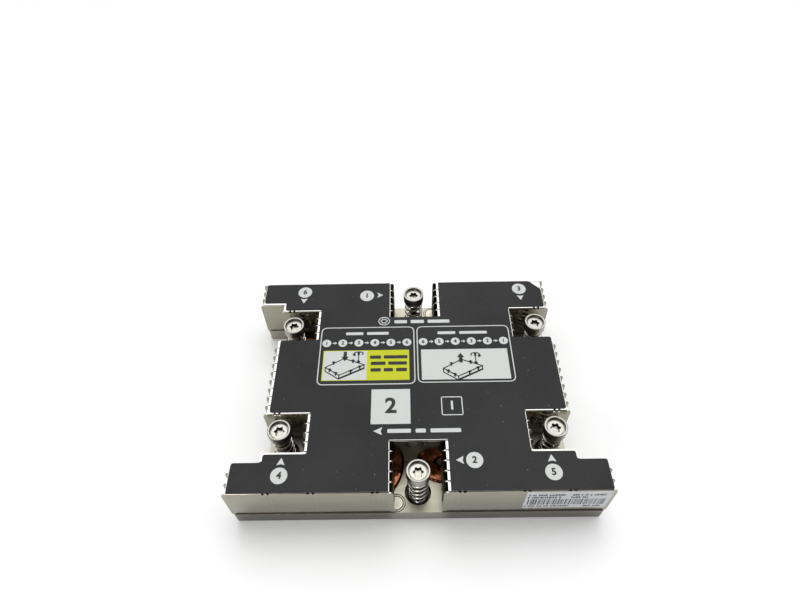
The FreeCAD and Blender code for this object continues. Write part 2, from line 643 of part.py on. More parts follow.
# Locks are cut where the label leaves the fold in view: in the first fin, and behind each well.
LOCKS = [f"{side} * Sizes.lock_{ring}" for ring in ("inner", "middle", "outer") for side in (-1, 1)]
BEHIND_WELLS = [value("Sizes.lead_rows + Sizes.well_rows"), value("Sizes.fin_count - 1 - Sizes.lead_rows")]
for row in range(round(value("Sizes.fin_count"))):
    fin = fin_row(row)
    if row == 0:
        lock_slits(fin, LOCKS)
    elif row in BEHIND_WELLS:
        lock_slits(fin, LOCKS[-2:])

for number, x, y in SCREWS:
    captive_screw(number, x, y)
    spring(number, x, y)
    retaining_ring(number, x, y)
top_label()
front_sticker()
doc.recompute()

# ---------------------------------------------------------------- checks and export

for item in doc.Objects:
    if "Invalid" in item.State or "Error" in item.State:
        raise RuntimeError(f"{item.Name} failed: {item.State}")
os.makedirs("parts", exist_ok=True)
for piece in pieces:
    shape = piece.Shape
    if shape.isNull() or not shape.isValid() or shape.Volume <= 0:
        raise RuntimeError(f"{piece.Label} has no valid solid")
    shape.exportStep(os.path.join("parts", piece.Label + ".step"))
    print(f"{piece.Label}: {len(shape.Solids)} solid(s), {shape.Volume:.1f} mm3")
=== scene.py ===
import math
import random

import bmesh
import bpy
from mathutils import Matrix, Vector


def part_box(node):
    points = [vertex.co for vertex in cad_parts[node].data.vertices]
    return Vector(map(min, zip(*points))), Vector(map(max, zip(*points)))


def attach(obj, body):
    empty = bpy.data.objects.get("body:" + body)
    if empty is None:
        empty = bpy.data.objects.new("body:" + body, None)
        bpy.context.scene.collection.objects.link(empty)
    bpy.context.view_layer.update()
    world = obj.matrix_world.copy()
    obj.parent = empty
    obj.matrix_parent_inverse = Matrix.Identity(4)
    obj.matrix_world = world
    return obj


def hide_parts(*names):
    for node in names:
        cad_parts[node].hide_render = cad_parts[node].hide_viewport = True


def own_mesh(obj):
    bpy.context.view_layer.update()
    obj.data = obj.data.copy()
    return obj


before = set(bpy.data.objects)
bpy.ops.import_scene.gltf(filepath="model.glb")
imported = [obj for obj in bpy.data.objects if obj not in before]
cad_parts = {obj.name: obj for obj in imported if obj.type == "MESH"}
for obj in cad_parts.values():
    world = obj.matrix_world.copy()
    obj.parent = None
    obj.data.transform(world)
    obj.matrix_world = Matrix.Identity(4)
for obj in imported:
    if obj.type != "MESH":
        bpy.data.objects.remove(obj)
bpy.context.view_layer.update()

# ---------------------------------------------------------------- base plate
# A milled plate, nickel plated all over. The raised face below it presses on the processor. Round
# wells are bored down to a thin web, which holds the springs, and the pipes lie in its grooves.


class Channel:
    """A value in a material's node tree. Sums and products of channels add Math nodes."""

    def __init__(self, tree, socket=None):
        self.tree = tree
        self.socket = socket

    def node(self, kind, settings, sockets, output=0):
        """Adds a node: its settings first, then the numbers, colours or channels of its sockets."""
        made = self.tree.nodes.new("ShaderNode" + kind)
        for name, setting in settings.items():
            setattr(made, name, setting)
        for name, given in sockets.items():
            if isinstance(given, Channel):
                self.tree.links.new(given.socket, made.inputs[name])
            else:
                made.inputs[name].default_value = given
        return Channel(self.tree, made.outputs[output])

    def maths(self, operation, *values):
        return self.node("Math", {"operation": operation}, dict(enumerate(values)))

    def __add__(self, other):
        return self.maths("ADD", self, other)

    def __mul__(self, other):
        return self.maths("MULTIPLY", self, other)

    __radd__ = __add__
    __rmul__ = __mul__

    def smooth(self, low, high):
        """0 below low, 1 above high, and a soft step between."""
        soft_step = {"interpolation_type": "SMOOTHSTEP"}
        return self.node("MapRange", soft_step, {0: self, 1: low, 2: high})

    def noise(self, scale, detail=3.0, roughness=0.55, stretch=(1, 1, 1)):
        """Cloudy noise from 0 to 1. Scale is in patches per metre, and stretch draws them out."""
        place = self.node("TexCoord", {}, {}, output="Object")
        place = place.node("VectorMath", {"operation": "MULTIPLY"}, {0: place, 1: stretch})
        return self.node("TexNoise", {}, {
            "Vector": place, "Scale": scale, "Detail": detail, "Roughness": roughness})

    def along(self, axis):
        """One part of a vector: X, Y or Z."""
        return self.node("SeparateXYZ", {}, {"Vector": self}, output=axis)

    def tint(self, below, above):
        """A colour between two: this channel's 0 gives the first and 1 the second."""
        return self.node("Mix", {"data_type": "RGBA"}, {0: self, 6: below, 7: above}, output=2)


def colour(red, green, blue):
    """A colour as it shows on a screen, from 0 to 255, as the shader's linear numbers."""
    def linear(part):
        share = part / 255
        return share / 12.92 if share <= 0.04045 else ((share + 0.055) / 1.055) ** 2.4
    return (linear(red), linear(green), linear(blue), 1)


class Finish:
    """A material with one Principled shader, whose plain numbers are set from the start."""

    def __init__(self, name, **numbers):
        self.material = bpy.data.materials.new(name)
        self.material.use_nodes = True
        self.shader = self.material.node_tree.nodes["Principled BSDF"]
        self.start = Channel(self.material.node_tree)
        for key, number in numbers.items():
            self.input(key).default_value = number

    def input(self, key):
        """The shader's socket for a name in small letters: base_color is Base Color."""
        return self.shader.inputs[key.replace("_", " ").title().replace("Ior", "IOR")]

    def paint(self, **channels):
        for key, channel in channels.items():
            self.material.node_tree.links.new(channel.socket, self.input(key))

    def relief(self, height, distance):
        """Raises the surface by a height channel, in metres at most."""
        self.paint(normal=self.start.node("Bump", {}, {
            "Strength": 1.0, "Distance": distance, "Height": height}))


def box(node):
    """A node's lowest and highest corners in millimetres."""
    low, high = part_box(node)
    return low * 1000, high * 1000


def piece(name, made, finish, body, angle=35):
    """Makes an object of a bmesh in millimetres, which rides on a body.

    Edges that turn by more than the angle stay sharp."""
    bmesh.ops.recalc_face_normals(made, faces=made.faces[:])
    bmesh.ops.scale(made, vec=(0.001, 0.001, 0.001), verts=made.verts[:])
    mesh = bpy.data.meshes.new(name)
    made.to_mesh(mesh)
    made.free()
    mesh.shade_smooth()
    mesh.set_sharp_from_angle(angle=math.radians(angle))
    mesh.materials.append(finish.material)
    thing = bpy.data.objects.new(name, mesh)
    bpy.context.scene.collection.objects.link(thing)
    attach(thing, body)
    return thing


def solid_of(node, weld, flat_angle):
    """A bmesh in millimetres of a node's solid: points welded and flat faces made whole."""
    made = bmesh.new()
    made.from_mesh(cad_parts[node].data)
    bmesh.ops.scale(made, vec=(1000, 1000, 1000), verts=made.verts[:])
    bmesh.ops.remove_doubles(made, verts=made.verts[:], dist=weld)
    bmesh.ops.dissolve_limit(
        made, angle_limit=flat_angle, verts=made.verts[:], edges=made.edges[:])
    return made


def softened(node, name, finish, body, width):
    """A copy of a node's solid with its sharp edges broken to a width in millimetres."""
    made = solid_of(node, 0.0005, math.radians(1))
    thing = piece(name, made, finish, body)
    bevel = thing.modifiers.new("Broken edges", "BEVEL")
    bevel.width = width * 0.001
    bevel.segments = 2
    bevel.limit_method = "ANGLE"
    bevel.angle_limit = math.radians(50)
    bevel.harden_normals = True
    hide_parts(node)
    return thing


base_nickel = Finish("plated base", metallic=1.0, roughness=0.3)
start = base_nickel.start
cloud = start.noise(60, 4)
grain = start.noise(700, 3, 0.6, (0.06, 1, 1))
dirt = start.noise(260, 5, 0.7).smooth(0.62, 0.78)
plating = cloud.tint(colour(142, 138, 124), colour(166, 162, 147))
base_nickel.paint(base_color=dirt.tint(plating, colour(112, 106, 90)),
                  roughness=0.3 + grain * 0.16 + dirt * 0.15)
base_nickel.relief(grain * 0.5 + cloud * 0.5, 0.00002)
base = softened("base_plate", "base_plate_plated", base_nickel, "heatsink", 0.18)

# The wells' walls and webs are painted dark as the shade deep in them, streaked like the marks of
# the boring tool, and are dull.
painted_bore_shade = Finish("painted bore shade", metallic=1.0, roughness=0.4)
tooled = painted_bore_shade.start.noise(1200, 3, 0.6, (0.2, 0.2, 1))
painted_bore_shade.paint(base_color=tooled.tint(colour(46, 43, 38), colour(64, 60, 54)),
                 roughness=0.3 + tooled * 0.2)

# The outer edges carry painted shade, darker than the plating, but for the stretch below each
# notch, which is painted lighter where no fin overhangs it.
painted_edge_shade = Finish("painted edge shade", metallic=1.0, roughness=0.35)
start = painted_edge_shade.start
streaks = start.noise(600, 4, 0.6, (1, 1, 0.15))
from_middle = start.node("TexCoord", {}, {}, output="Object").along("X")
shade_beyond_notch = from_middle.maths("ABSOLUTE", from_middle).smooth(0.008, 0.013)
edge_shade_tone = streaks.tint(colour(98, 96, 87), colour(124, 122, 112))
painted_edge_shade.paint(base_color=shade_beyond_notch.tint(colour(154, 152, 143), edge_shade_tone),
                roughness=0.28 + streaks * 0.2)

SCREWS = range(1, 7)
WELL_REACH = 5.4
WELL_LOW, WELL_HIGH = 2.7, 7.0
EDGE_X, EDGE_Y = 71.5, 50.5
EDGE_LOW, EDGE_HIGH = 3.0, 5.0
SHADED_BORE, SHADED_EDGE = 1, 2

base.data.materials.append(painted_bore_shade.material)
base.data.materials.append(painted_edge_shade.material)
screw_centres = [sum(box(f"screw_{number}"), Vector()) / 2 for number in SCREWS]
# Faces deep in the wells take the painted bore shade, and the outer side faces the painted edge
# shade and light.
for face in base.data.polygons:
    middle = face.center * 1000
    in_well = WELL_LOW < middle.z < WELL_HIGH and any(
        (middle - centre).xy.length < WELL_REACH for centre in screw_centres)
    far_out = abs(middle.x) > EDGE_X or abs(middle.y) > EDGE_Y
    if in_well:
        face.material_index = SHADED_BORE
    elif abs(face.normal.z) < 0.5 and far_out and EDGE_LOW < middle.z < EDGE_HIGH:
        face.material_index = SHADED_EDGE

# ---------------------------------------------------------------- heat pipes
# Copper pipes pressed flat into the grooves of the base and soldered there. Each is a flat U with
# soft shoulders, left bare, so the copper has browned with the heat of the solder.


def skin(made, rings, capped=True):
    """Adds a surface through closed rings that have the same number of points."""
    rows = [[made.verts.new(point) for point in ring] for ring in rings]
    count = len(rows[0])
    for near, far in zip(rows, rows[1:]):
        for step in range(count):
            after = (step + 1) % count
            made.faces.new((near[step], near[after], far[after], far[step]))
    if capped:
        made.faces.new(rows[0][::-1])
        made.faces.new(rows[-1])


def rounded_box(half_width, low, high, radii, steps=5):
    """Points (across, up) round a box's section; radii are those of the lower and upper corners."""
    corners = [(half_width, low, -90, radii[0]), (half_width, high, 0, radii[1]),
               (-half_width, high, 90, radii[1]), (-half_width, low, 180, radii[0])]
    points = []
    for across, up, turn, radius in corners:
        side = 1 if across > 0 else -1
        rise = 1 if up == high else -1
        for step in range(steps + 1):
            angle = math.radians(turn + 90 * step / steps)
            points.append((across - side * radius + radius * math.cos(angle),
                           up - rise * radius + radius * math.sin(angle)))
    return points


copper = Finish("browned copper", metallic=1.0, roughness=0.25)
start = copper.start
stain = start.noise(170, 5, 0.65)
ripple = start.noise(150, 2, 0.5)
flux = start.noise(900, 4, 0.7).smooth(0.58, 0.7)
browned = stain.smooth(0.35, 0.65).tint(colour(70, 43, 33), colour(172, 102, 70))
copper.paint(base_color=flux.tint(browned, colour(84, 46, 32)),
             roughness=0.1 + stain * 0.12 + flux * 0.25)
copper.relief(ripple * 0.9 + stain * 0.15, 0.0007)

PIPE_SHOULDERS = (1.2, 1.3)
# Places near a pipe's end, and its height at the first two as a share of the height from the third
# on.
PRESSED_AT = (0, 0.6, 1.6)
PRESSED_TO = (0.7, 0.93)
HALF_TURN_STEPS = 28


def flat_pipe(node):
    """A flat U: outer leg, half-turn bend and inner leg, with its ends pressed shut."""
    low, high = box(node)
    points = [vertex.co * 1000 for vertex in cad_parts[node].data.vertices]
    side = 1 if abs(high.x) > abs(low.x) else -1
    end = 1 if high.y > 0 else -1
    tip, crown = (high.x, low.x) if side > 0 else (low.x, high.x)
    outer_edge, inner_edge = (high.y, low.y) if end > 0 else (low.y, high.y)
    # The inner leg stops short of the outer one, and the width is that of the leg's flat end.
    inner_tip = max((p.x * side for p in points if abs(p.y - inner_edge) < 0.1)) * side
    leg = [p.y for p in points if abs(p.x - tip) < 0.01]
    half = (max(leg) - min(leg)) / 2
    bend = abs(outer_edge - inner_edge) / 2 - half
    centre = Vector((crown + side * (bend + half), (outer_edge + inner_edge) / 2, 0))
    outer_y, inner_y = centre.y + end * bend, centre.y - end * bend
    outer_run, inner_run = centre.x - tip, inner_tip - centre.x
    # The route is a list of places along the middle and of how far the pipe has turned there.
    route = [(Vector((tip - side * run, outer_y, 0)), 0) for run in PRESSED_AT]
    route += [(Vector((tip + outer_run * share, outer_y, 0)), 0) for share in (0.3, 0.65)]
    for step in range(HALF_TURN_STEPS + 1):
        turn = math.pi * step / HALF_TURN_STEPS
        outward = Vector((-side * math.sin(turn), end * math.cos(turn), 0))
        route.append((centre + outward * bend, turn))
    route += [(Vector((centre.x + inner_run * share, inner_y, 0)), math.pi)
              for share in (0.35, 0.7)]
    route += [(Vector((inner_tip - side * run, inner_y, 0)), math.pi)
              for run in reversed(PRESSED_AT)]
    section = rounded_box(half, low.z, high.z, PIPE_SHOULDERS)
    middle = (low.z + high.z) / 2
    made = bmesh.new()
    rings = []
    for place, (spot, turn) in enumerate(route):
        outward = Vector((-side * math.sin(turn), end * math.cos(turn), 0))
        from_end = min(place, len(route) - 1 - place)
        shut = PRESSED_TO[from_end] if from_end < len(PRESSED_TO) else 1.0
        rings.append([
            spot + outward * (a * (0.5 + shut / 2)) + Vector((0, 0, middle + (u - middle) * shut))
            for a, u in section])
    skin(made, rings)
    thing = piece(node + "_flattened", made, copper, "heatsink")
    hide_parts(node)


for name in sorted(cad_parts):
    if name.startswith("heat_pipe"):
        flat_pipe(name)

# ---------------------------------------------------------------- plugs
# Round plugs pressed into the plate at both centre notches and milled flush with it. A ring is
# turned in the face of each.


def turned(made, centre, profile, sides=64):
    """Turns a profile of (radius, height) about an upright axis.

    A radius may be a function of the angle."""
    rings = []
    for radius, height in profile:
        ring = []
        for step in range(sides):
            angle = 2 * math.pi * step / sides
            reach = radius(angle) if callable(radius) else radius
            ring.append(centre + Vector((reach * math.cos(angle), reach * math.sin(angle), height)))
        rings.append(ring)
    skin(made, rings)


plug_metal = Finish("milled plug", metallic=1.0, roughness=0.3)
start = plug_metal.start
lathe_marks = start.noise(1500, 2, 0.5)
plug_metal.paint(base_color=start.noise(220, 4).tint(colour(150, 143, 128), colour(190, 184, 170)),
                 roughness=0.24 + lathe_marks * 0.18)
plug_metal.relief(lathe_marks, 0.00003)

CHAMFER_IN, CHAMFER_DOWN = 0.22, 0.3
# The groove's two edges from the rim, its depth, and how far each wall leans in.
GROOVE_OUT, GROOVE_IN = 0.55, 0.97
GROOVE_DEPTH = 0.6
GROOVE_LEAN = 0.07


def upright_axis(low, high):
    """The middle of a box, seen from above."""
    return Vector(((low.x + high.x) / 2, (low.y + high.y) / 2, 0))


for name in ("press_plug_front", "press_plug_back"):
    low, high = box(name)
    rim = (high.x - low.x) / 2
    centre = upright_axis(low, high)
    made = bmesh.new()
    turned(made, centre, [
        (0.02, low.z), (rim, low.z), (rim, high.z - CHAMFER_DOWN), (rim - CHAMFER_IN, high.z),
        (rim - GROOVE_OUT, high.z), (rim - GROOVE_OUT - GROOVE_LEAN, high.z - GROOVE_DEPTH),
        (rim - GROOVE_IN + GROOVE_LEAN, high.z - GROOVE_DEPTH), (rim - GROOVE_IN, high.z),
        (0.6, high.z), (0.02, high.z - 0.05)])
    thing = piece(name + "_turned", made, plug_metal, "heatsink")
    # The groove and the joint round the plug are painted dark as shade.
    thing.data.materials.append(painted_bore_shade.material)
    for face in thing.data.polygons:
        middle = face.center * 1000
        if middle.z < high.z - 0.05 and (middle - centre).xy.length > rim - GROOVE_IN - 0.03:
            face.material_index = 1
    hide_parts(name)

# ---------------------------------------------------------------- fins
# Each row is one strip of nickel-plated sheet, folded back at top and bottom and soldered to the
# base by its foot. The upright plate runs on as a rounded tab past both ends of the flanges. The
# first row, and those behind a corner well, show the slits of the locks that hold the rows.

SHEET = 0.4
BEND = 0.55
FOOT_BEND = 0.95
FIN_ROWS = 26
# Places of the locks from the middle. Each is a narrow tongue between two slits in the fold.
LOCKS = (15.9, 39.3, 55.8)
LOCK_SLACK = 1
TONGUE = 0.5
SLIT = 0.9
SLIT_DEPTH = 0.9
SLIT_REACH = 1.1
# The tab past the flanges' ends: its greatest length, and the round at its lower corner.
TAB = 1.3
TAB_FOOT_ROUND = 0.5
TAB_INSET = 0.3

fin_nickel = Finish("plated fin sheet", metallic=1.0, roughness=0.3)
start = fin_nickel.start
cloud = start.noise(45, 4, 0.6)
grain = start.noise(900, 3, 0.6, (0.05, 1, 1))
specks = start.noise(1300, 2, 0.5).smooth(0.7, 0.76)
# Faces that look up are painted a lighter, whiter tone as a painted highlight.
painted_top_highlight = start.node("NewGeometry", {}, {}, output="Normal").along("Z").smooth(0.8, 0.98)
plating = cloud.tint(colour(146, 142, 127), colour(166, 162, 147))
fin_nickel.paint(
    base_color=painted_top_highlight.tint(specks.tint(plating, colour(108, 102, 86)), colour(172, 171, 168)),
    roughness=0.1 + grain * 0.1 + cloud * 0.06)
fin_nickel.relief(grain * 0.3 + cloud * 0.7, 0.00002)


def bend_points(centre_y, centre_z, radius, first, last, steps=4):
    """Points (y, z) along a fold."""
    points = []
    for step in range(steps + 1):
        turn = math.radians(first + (last - first) * step / steps)
        points.append((centre_y + radius * math.cos(turn), centre_z + radius * math.sin(turn)))
    return points


def channel_section(depth, height):
    """The folded strip's section: foot, plate and top flange with rounded folds."""
    inner, foot_inner = BEND - SHEET, FOOT_BEND - SHEET
    outside = ([(depth, 0)] + bend_points(FOOT_BEND, FOOT_BEND, FOOT_BEND, 270, 180)
               + bend_points(BEND, height - BEND, BEND, 180, 90) + [(depth, height)])
    inside = ([(depth, height - SHEET)] + bend_points(BEND, height - BEND, inner, 90, 180)
              + bend_points(FOOT_BEND, FOOT_BEND, foot_inner, 180, 270) + [(depth, SHEET)])
    return outside + inside


def slit_sections(depth, height):
    """The sections left beside a lock: plate and foot without the upper fold, and the flange."""
    top = height - SLIT_DEPTH
    lower = ([(depth, 0)] + bend_points(FOOT_BEND, FOOT_BEND, FOOT_BEND, 270, 180)
             + [(0, top), (SHEET, top)]
             + bend_points(FOOT_BEND, FOOT_BEND, FOOT_BEND - SHEET, 180, 270) + [(depth, SHEET)])
    flange = [(SLIT_REACH, height), (depth, height),
              (depth, height - SHEET), (SLIT_REACH, height - SHEET)]
    return [lower, flange]


def strip(made, section, start_x, end_x, face_y, foot_z):
    """Runs a section along X."""
    skin(made, [[Vector((x, face_y + y, foot_z + z)) for y, z in section]
                for x in (start_x, end_x)])


def tab(made, root_x, tip_x, face_y, low_z, high_z):
    """The rounded end of the upright plate, from its root at the flanges to its tip."""
    way = 1 if tip_x > root_x else -1
    length = min(abs(tip_x - root_x), TAB)
    foot = TAB_FOOT_ROUND
    outline = [(root_x, low_z), (tip_x - way * foot, low_z)]
    for centre_z, radius, first in ((low_z + foot, foot, 270), (high_z - length, length, 0)):
        for step in range(7):
            turn = math.radians(first + 15 * step)
            outline.append((tip_x - way * (radius - radius * math.cos(turn)),
                            centre_z + radius * math.sin(turn)))
    outline.append((root_x, high_z))
    skin(made, [[Vector((x, y, z)) for x, z in outline] for y in (face_y, face_y + SHEET)])


def fin(row):
    """One row of the stack: one strip, or two where a centre notch parts them."""
    node = f"fin_row_{row:02d}"
    low, high = box(node)
    depth, height = high.y - low.y, high.z - low.z
    points = [vertex.co * 1000 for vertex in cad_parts[node].data.vertices]
    nearest = min(abs(p.x) for p in points)
    notch = nearest if nearest < LOCKS[0] - 2 * SLIT else 0
    folded = depth > 2 * SHEET
    flange_end = max(p.x for p in points if p.y > high.y - 0.01)
    run_past = high.x - flange_end + TAB_INSET
    if row == 1:
        locks = LOCKS
    elif any(abs(abs(p.x) - LOCKS[2]) < LOCK_SLACK for p in points):
        locks = LOCKS[2:]
    else:
        locks = ()
    made = bmesh.new()
    ends = [(low.x, -notch), (notch, high.x)] if notch else [(low.x, high.x)]
    for left, right in ends:
        if not folded:
            # The last row is a flat plate.
            tab(made, (left + right) / 2, left, low.y, low.z, high.z)
            tab(made, (left + right) / 2, right, low.y, low.z, high.z)
            continue
        left_root, right_root = left + run_past, right - run_past
        cuts = []
        for lock in locks:
            for sign in (-1, 1):
                for near, far in ((TONGUE, TONGUE + SLIT), (-TONGUE - SLIT, -TONGUE)):
                    cuts.append((sign * lock + near, sign * lock + far))
        cuts = sorted(cut for cut in cuts if left_root < cut[0] and cut[1] < right_root)
        place = left_root
        for first, last in cuts:
            strip(made, channel_section(depth, height), place, first, low.y, low.z)
            for section in slit_sections(depth, height):
                strip(made, section, first, last, low.y, low.z)
            place = last
        strip(made, channel_section(depth, height), place, right_root, low.y, low.z)
        for root, tip in ((left_root, left), (right_root, right)):
            tab(made, root, tip, low.y, low.z + TAB_INSET, high.z - TAB_INSET)
    thing = piece(f"fin_{row:02d}_folded", made, fin_nickel, "heatsink", 50)
    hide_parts(node)


for row in range(1, FIN_ROWS + 1):
    fin(row)

# ---------------------------------------------------------------- painted crease shade
# The fins' feet are soldered to the base. Below the first fin a dark uneven seam lies in the crease
# as painted shade.

crease_shade = Finish("painted crease shade", roughness=0.5)
seam_mottle = crease_shade.start.noise(900, 4, 0.7)
crease_shade.paint(base_color=seam_mottle.tint(colour(40, 34, 27), colour(72, 63, 50)),
                 roughness=0.35 + seam_mottle * 0.4)

SEAM_END = 1.4
SEAM_NOTCH = 10.6
SEAM_TALL = 0.55
SEAM_DEEP = 0.85
SEAM_FRONT = 0.06
SEAM_STEPS = 60

dice = random.Random(3)
first_low, first_high = box("fin_row_01")
seam = bmesh.new()
for left, right in ((first_low.x + SEAM_END, -SEAM_NOTCH), (SEAM_NOTCH, first_high.x - SEAM_END)):
    rings = []
    for step in range(SEAM_STEPS + 1):
        x = left + (right - left) * step / SEAM_STEPS
        tall = SEAM_TALL + dice.uniform(-0.12, 0.14)
        front = SEAM_FRONT + dice.uniform(-0.03, 0.05)
        rings.append([Vector((x, first_low.y + y, first_low.z + z)) for y, z in (
            (front, 0), (SEAM_DEEP, 0), (SEAM_DEEP, 0.03), (0.3, tall), (front, tall * 0.9))])
    skin(seam, rings)
piece("crease_shade_seam", seam, crease_shade, "heatsink")

# ---------------------------------------------------------------- captive screws
# Turned steel screws, nickel plated: a cup-rimmed head with a raised disc and a six-lobe socket, a
# thin neck that the spring goes round, and a short thread.

HEAD_LENGTH = 4.4
CUP_DEPTH = 1.3
SOCKET_DEPTH = 1.5
SOCKET_TIP = 1.97
SOCKET_VALLEY = 1.36
NECK = 1.6
THREAD_PITCH = 0.7
THREAD_CREST, THREAD_ROOT = 2.0, 1.7

screw_nickel = Finish("bright plated steel", metallic=1.0, roughness=0.2)
start = screw_nickel.start
turning = start.noise(2600, 2, 0.5, (1, 1, 3))
soil = start.noise(700, 4, 0.65).smooth(0.6, 0.78)
screw_nickel.paint(
    base_color=soil.tint(colour(158, 156, 149), colour(122, 116, 102)),
    roughness=0.24 + turning * 0.16 + soil * 0.2)
screw_nickel.relief(turning, 0.000015)

# The socket's wall and the neck and thread below the head are painted dark as the shade in the
# socket and under the head.
shaded_steel = Finish("painted shade steel", metallic=1.0, roughness=0.35)
shade_mottle = shaded_steel.start.noise(1500, 3, 0.6)
shaded_steel.paint(base_color=shade_mottle.tint(colour(52, 49, 45), colour(74, 70, 64)),
                 roughness=0.3 + shade_mottle * 0.2)


def lobes(angle):
    """How far the six-lobe socket reaches at an angle."""
    middle, swing = (SOCKET_TIP + SOCKET_VALLEY) / 2, (SOCKET_TIP - SOCKET_VALLEY) / 2
    return middle + swing * math.cos(6 * angle)


def screw(number):
    """One screw, turned from the socket's floor out over the rim and down to the thread's tip."""
    node = f"screw_{number}"
    low, high = box(node)
    centre = upright_axis(low, high)
    rim = (high.x - low.x) / 2
    ring_low = box(f"retaining_ring_{number}")[0].z
    disc, foot = high.z - CUP_DEPTH, high.z - HEAD_LENGTH
    # Socket with a countersunk mouth, disc, the groove round it, the cup and its rim, then the
    # outside of the head and the neck.
    profile = [
        (lobes, disc - SOCKET_DEPTH), (lobes, disc - 0.18),
        (lambda angle: lobes(angle) + 0.16, disc),
        (3.15, disc), (3.25, disc - 0.1), (3.35, disc - 0.3), (3.6, disc - 0.3), (3.68, disc - 0.2),
        (3.7, high.z - 0.25), (3.78, high.z - 0.08), (3.95, high.z), (rim - 0.25, high.z),
        (rim - 0.08, high.z - 0.08), (rim, high.z - 0.25), (rim, foot + 0.3), (rim - 0.25, foot),
        (NECK, foot), (NECK, ring_low - 0.1)]
    half_turns = int((ring_low - 0.2 - low.z) / (THREAD_PITCH / 2))
    for step in range(half_turns):
        radius = THREAD_CREST if step % 2 else THREAD_ROOT
        profile.append((radius, ring_low - 0.15 - step * THREAD_PITCH / 2))
    profile += [(1.5, low.z + 0.05), (1.4, low.z)]
    made = bmesh.new()
    turned(made, centre, profile, 72)
    thing = piece(node + "_turned", made, screw_nickel, node + "_body")
    # The socket's wall and the neck and thread below the head take the painted shade.
    thing.data.materials.append(shaded_steel.material)
    for face in thing.data.polygons:
        middle = face.center * 1000
        from_axis = (middle - centre).xy.length
        in_socket = disc - SOCKET_DEPTH + 0.1 < middle.z < disc - 0.03 and from_axis < 2.3
        below_head = middle.z < foot - 0.1 and from_axis < THREAD_CREST + 0.1
        if in_socket or below_head:
            face.material_index = 1
    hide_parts(node)


for number in SCREWS:
    screw(number)

# ---------------------------------------------------------------- springs
# Compression springs of drawn round wire, with a closed turn at each end. Each stands on the web of
# its well and holds its screw up.

spring_steel = Finish("drawn spring wire", metallic=1.0, roughness=0.2)
start = spring_steel.start
drawn = start.noise(1800, 2, 0.5)
spring_steel.paint(
    base_color=start.noise(300, 3).tint(colour(196, 193, 184), colour(224, 221, 213)),
    roughness=0.16 + drawn * 0.12)

WIRE_RADIUS = 0.55
COIL_RADIUS = 3.6
WORKING_TURNS = 4.5
CLOSED_TURNS = 0.75
CLOSED_RISE = 2 * WIRE_RADIUS * 1.02
TURN_STEPS = 28
WIRE_SIDES = 10
# Where each spring's lower end points, in degrees round the screw.
FIRST_TURN = (40, 235, 300, 160, 20, 110)


def spring(number):
    """One spring, from its lower closed turn up to the screw's head."""
    node = f"spring_{number}"
    low, high = box(node)
    centre = upright_axis(low, high)
    length = box(f"screw_{number}")[1].z - HEAD_LENGTH - low.z
    open_rise = (length - 2 * WIRE_RADIUS - 2 * CLOSED_TURNS * CLOSED_RISE) / WORKING_TURNS
    height = low.z + WIRE_RADIUS
    first = math.radians(FIRST_TURN[number - 1])
    total = round((WORKING_TURNS + 2 * CLOSED_TURNS) * TURN_STEPS)
    closed_steps = CLOSED_TURNS * TURN_STEPS
    rings = []
    for step in range(total + 1):
        angle = first + 2 * math.pi * step / TURN_STEPS
        outward = Vector((math.cos(angle), math.sin(angle), 0))
        ring = []
        for part in range(WIRE_SIDES):
            turn = 2 * math.pi * part / WIRE_SIDES
            ring.append(centre + outward * (COIL_RADIUS + WIRE_RADIUS * math.cos(turn))
                        + Vector((0, 0, height + WIRE_RADIUS * math.sin(turn))))
        rings.append(ring)
        working = closed_steps <= step < total - closed_steps
        height += (open_rise if working else CLOSED_RISE) / TURN_STEPS
    made = bmesh.new()
    skin(made, rings)
    thing = piece(node + "_coiled", made, spring_steel, "heatsink", 60)
    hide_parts(node)
    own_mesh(thing)


for number in SCREWS:
    spring(number)

# ---------------------------------------------------------------- retaining rings
# Slotted rings stamped from plain spring steel and pushed on the necks under the base, so that the
# screws can't fall out.

ring_steel = Finish("plain ring steel", metallic=1.0, roughness=0.35)
start = ring_steel.start
stamped = start.noise(900, 3)
ring_steel.paint(base_color=stamped.tint(colour(110, 108, 104), colour(150, 148, 142)),
                 roughness=0.3 + stamped * 0.2)
for number in SCREWS:
    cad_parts[f"retaining_ring_{number}"].data.materials[0] = ring_steel.material

# ---------------------------------------------------------------- top label
# Thin dark film stuck on the fins' flanges, cut to the outline of the stack. Its print says in
# which order the screws are turned.

label_film = Finish("charcoal label film", roughness=0.5, specular_ior_level=0.12)
start = label_film.start
weave = start.noise(2400, 2, 0.6)
smudge = start.noise(24, 4, 0.6)
dust = start.noise(900, 1, 0.4).smooth(0.775, 0.8)
mottled = (smudge * 0.6 + weave * 0.4).smooth(0.3, 0.7).tint(colour(41, 41, 43), colour(56, 56, 57))
label_film.paint(base_color=dust.tint(mottled, colour(108, 108, 108)), roughness=0.42 + weave * 0.2)
label_film.relief(weave, 0.00001)


def top_outline(node, height):
    """The corners, in order, of a node's flat face at a height."""
    made = solid_of(node, 0.001, 0.01)
    flat = [face for face in made.faces if all(abs(v.co.z - height) < 0.001 for v in face.verts)]
    largest = max(flat, key=lambda face: face.calc_area())
    corners = [corner.vert.co.copy() for corner in largest.loops]
    made.free()
    return corners


def eased(corners, reach, steps=6):
    """The outline with rounded corners.

    Reach is how far from a corner its round starts, or a function that tells it."""
    outline = []
    count = len(corners)
    for index, corner in enumerate(corners):
        size = reach(corner) if callable(reach) else reach
        first = corner + (corners[index - 1] - corner).normalized() * size
        last = corner + (corners[(index + 1) % count] - corner).normalized() * size
        for step in range(steps + 1):
            share = step / steps
            outline.append(first.lerp(corner, share).lerp(corner.lerp(last, share), share))
    return outline


def prism(made, outline, low, high):
    """Adds an upright prism on an outline."""
    skin(made, [[Vector((p[0], p[1], z)) for p in outline] for z in (low, high)])


